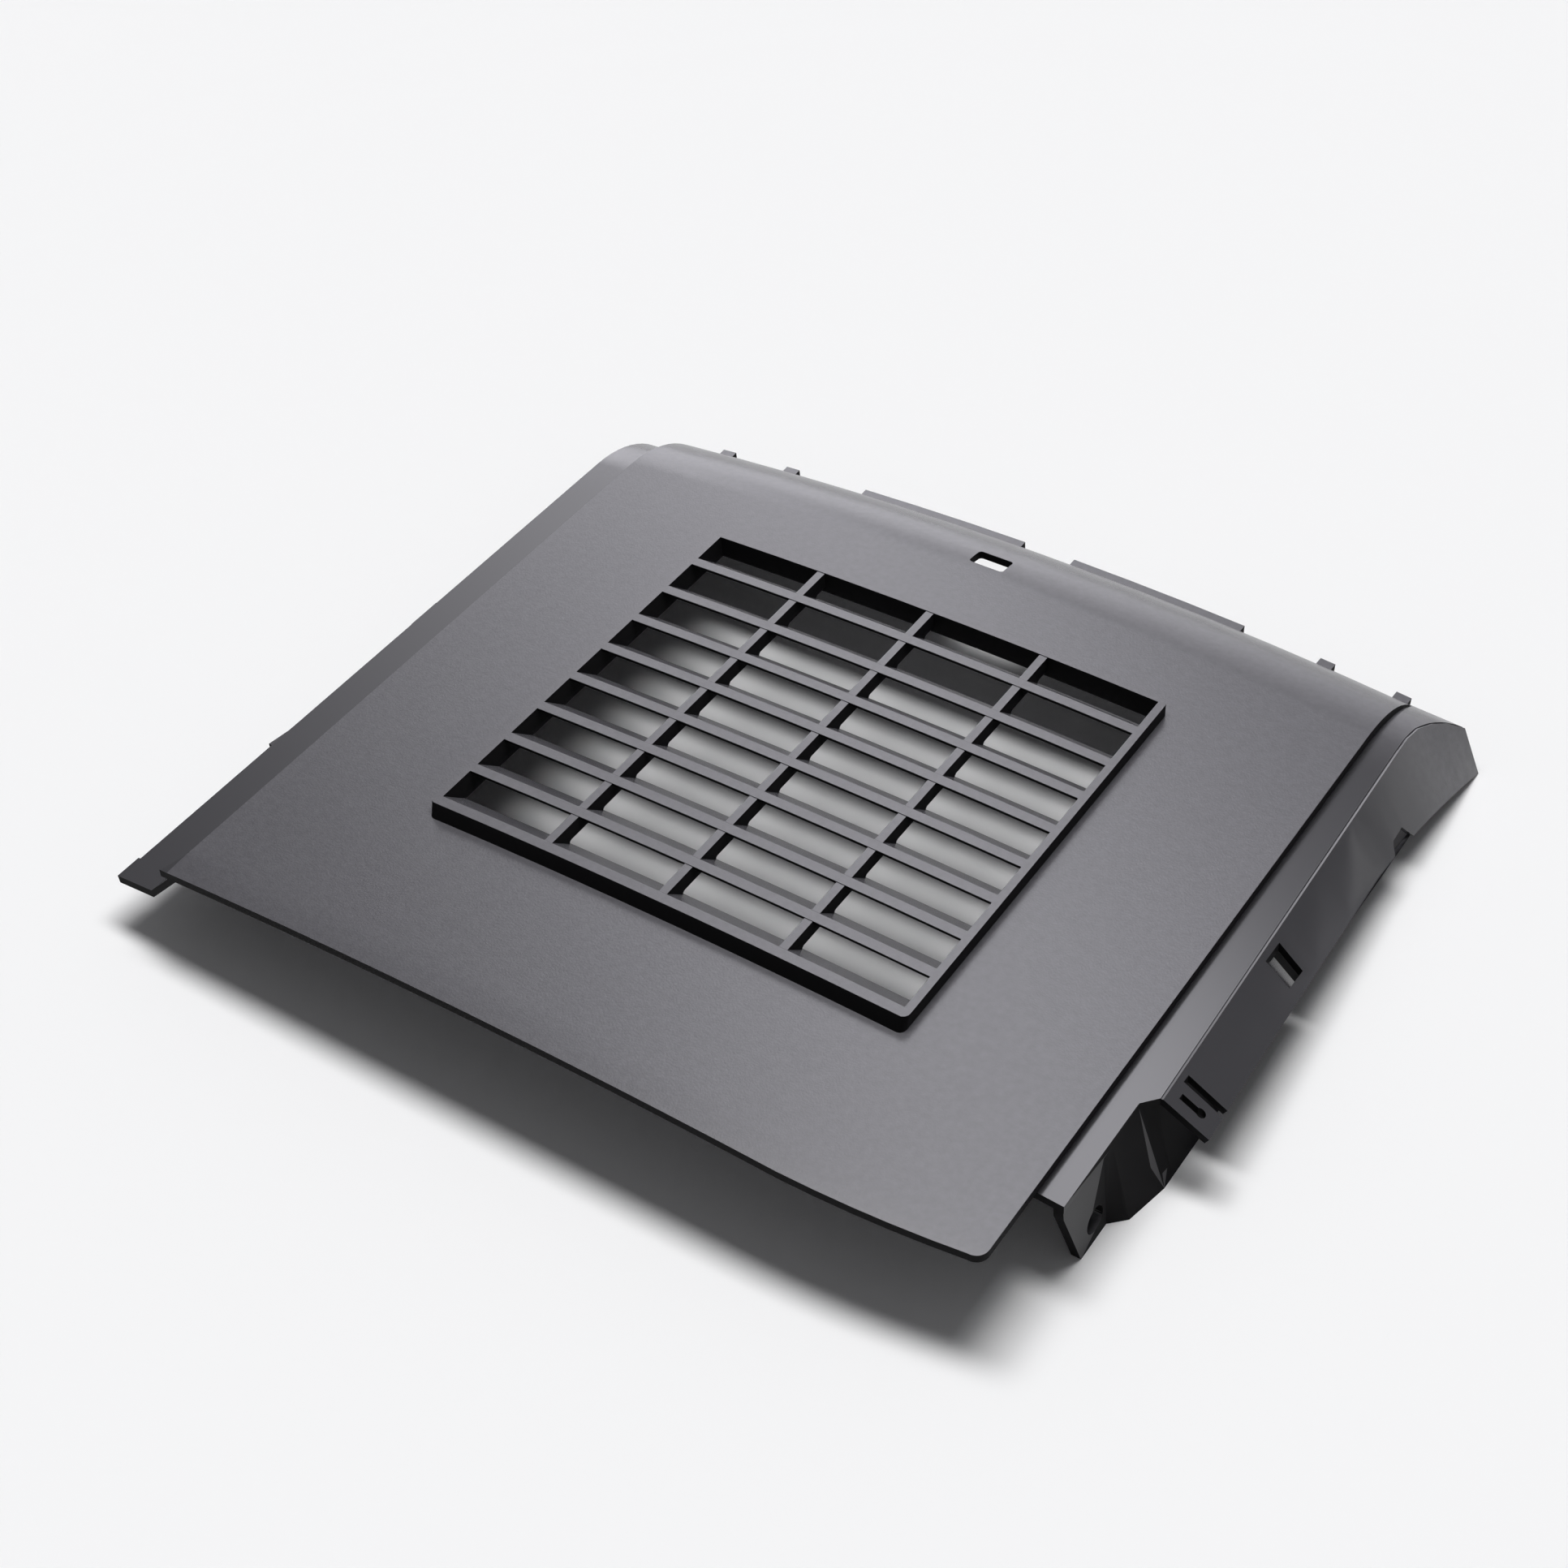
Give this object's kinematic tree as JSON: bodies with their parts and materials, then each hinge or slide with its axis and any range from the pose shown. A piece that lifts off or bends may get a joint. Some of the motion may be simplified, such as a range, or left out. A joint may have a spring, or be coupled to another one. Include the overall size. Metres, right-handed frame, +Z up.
{
  "type": "moulded skid plate with louvred vent",
  "caption": "Crowned moulded plastic under-cover plate with a raised louvred vent, a rolled far edge, a joggled side ledge and a flared clip skirt with screw tabs.",
  "frame": {"origin": "centre of the part's box, on the surface that its side walls stand on", "axes": "+X across the plate towards the flared skirt, +Y from the plain near edge to the rolled far edge, +Z up"},
  "size_m": [0.3278, 0.2738, 0.0452],
  "materials": {
    "moulding": "fine moulded grain on the plate and vent, smoother on ledges and skirt"
  },
  "bodies": {
    "root": {"skid_plate": "moulding"}
  },
  "joints": []
}
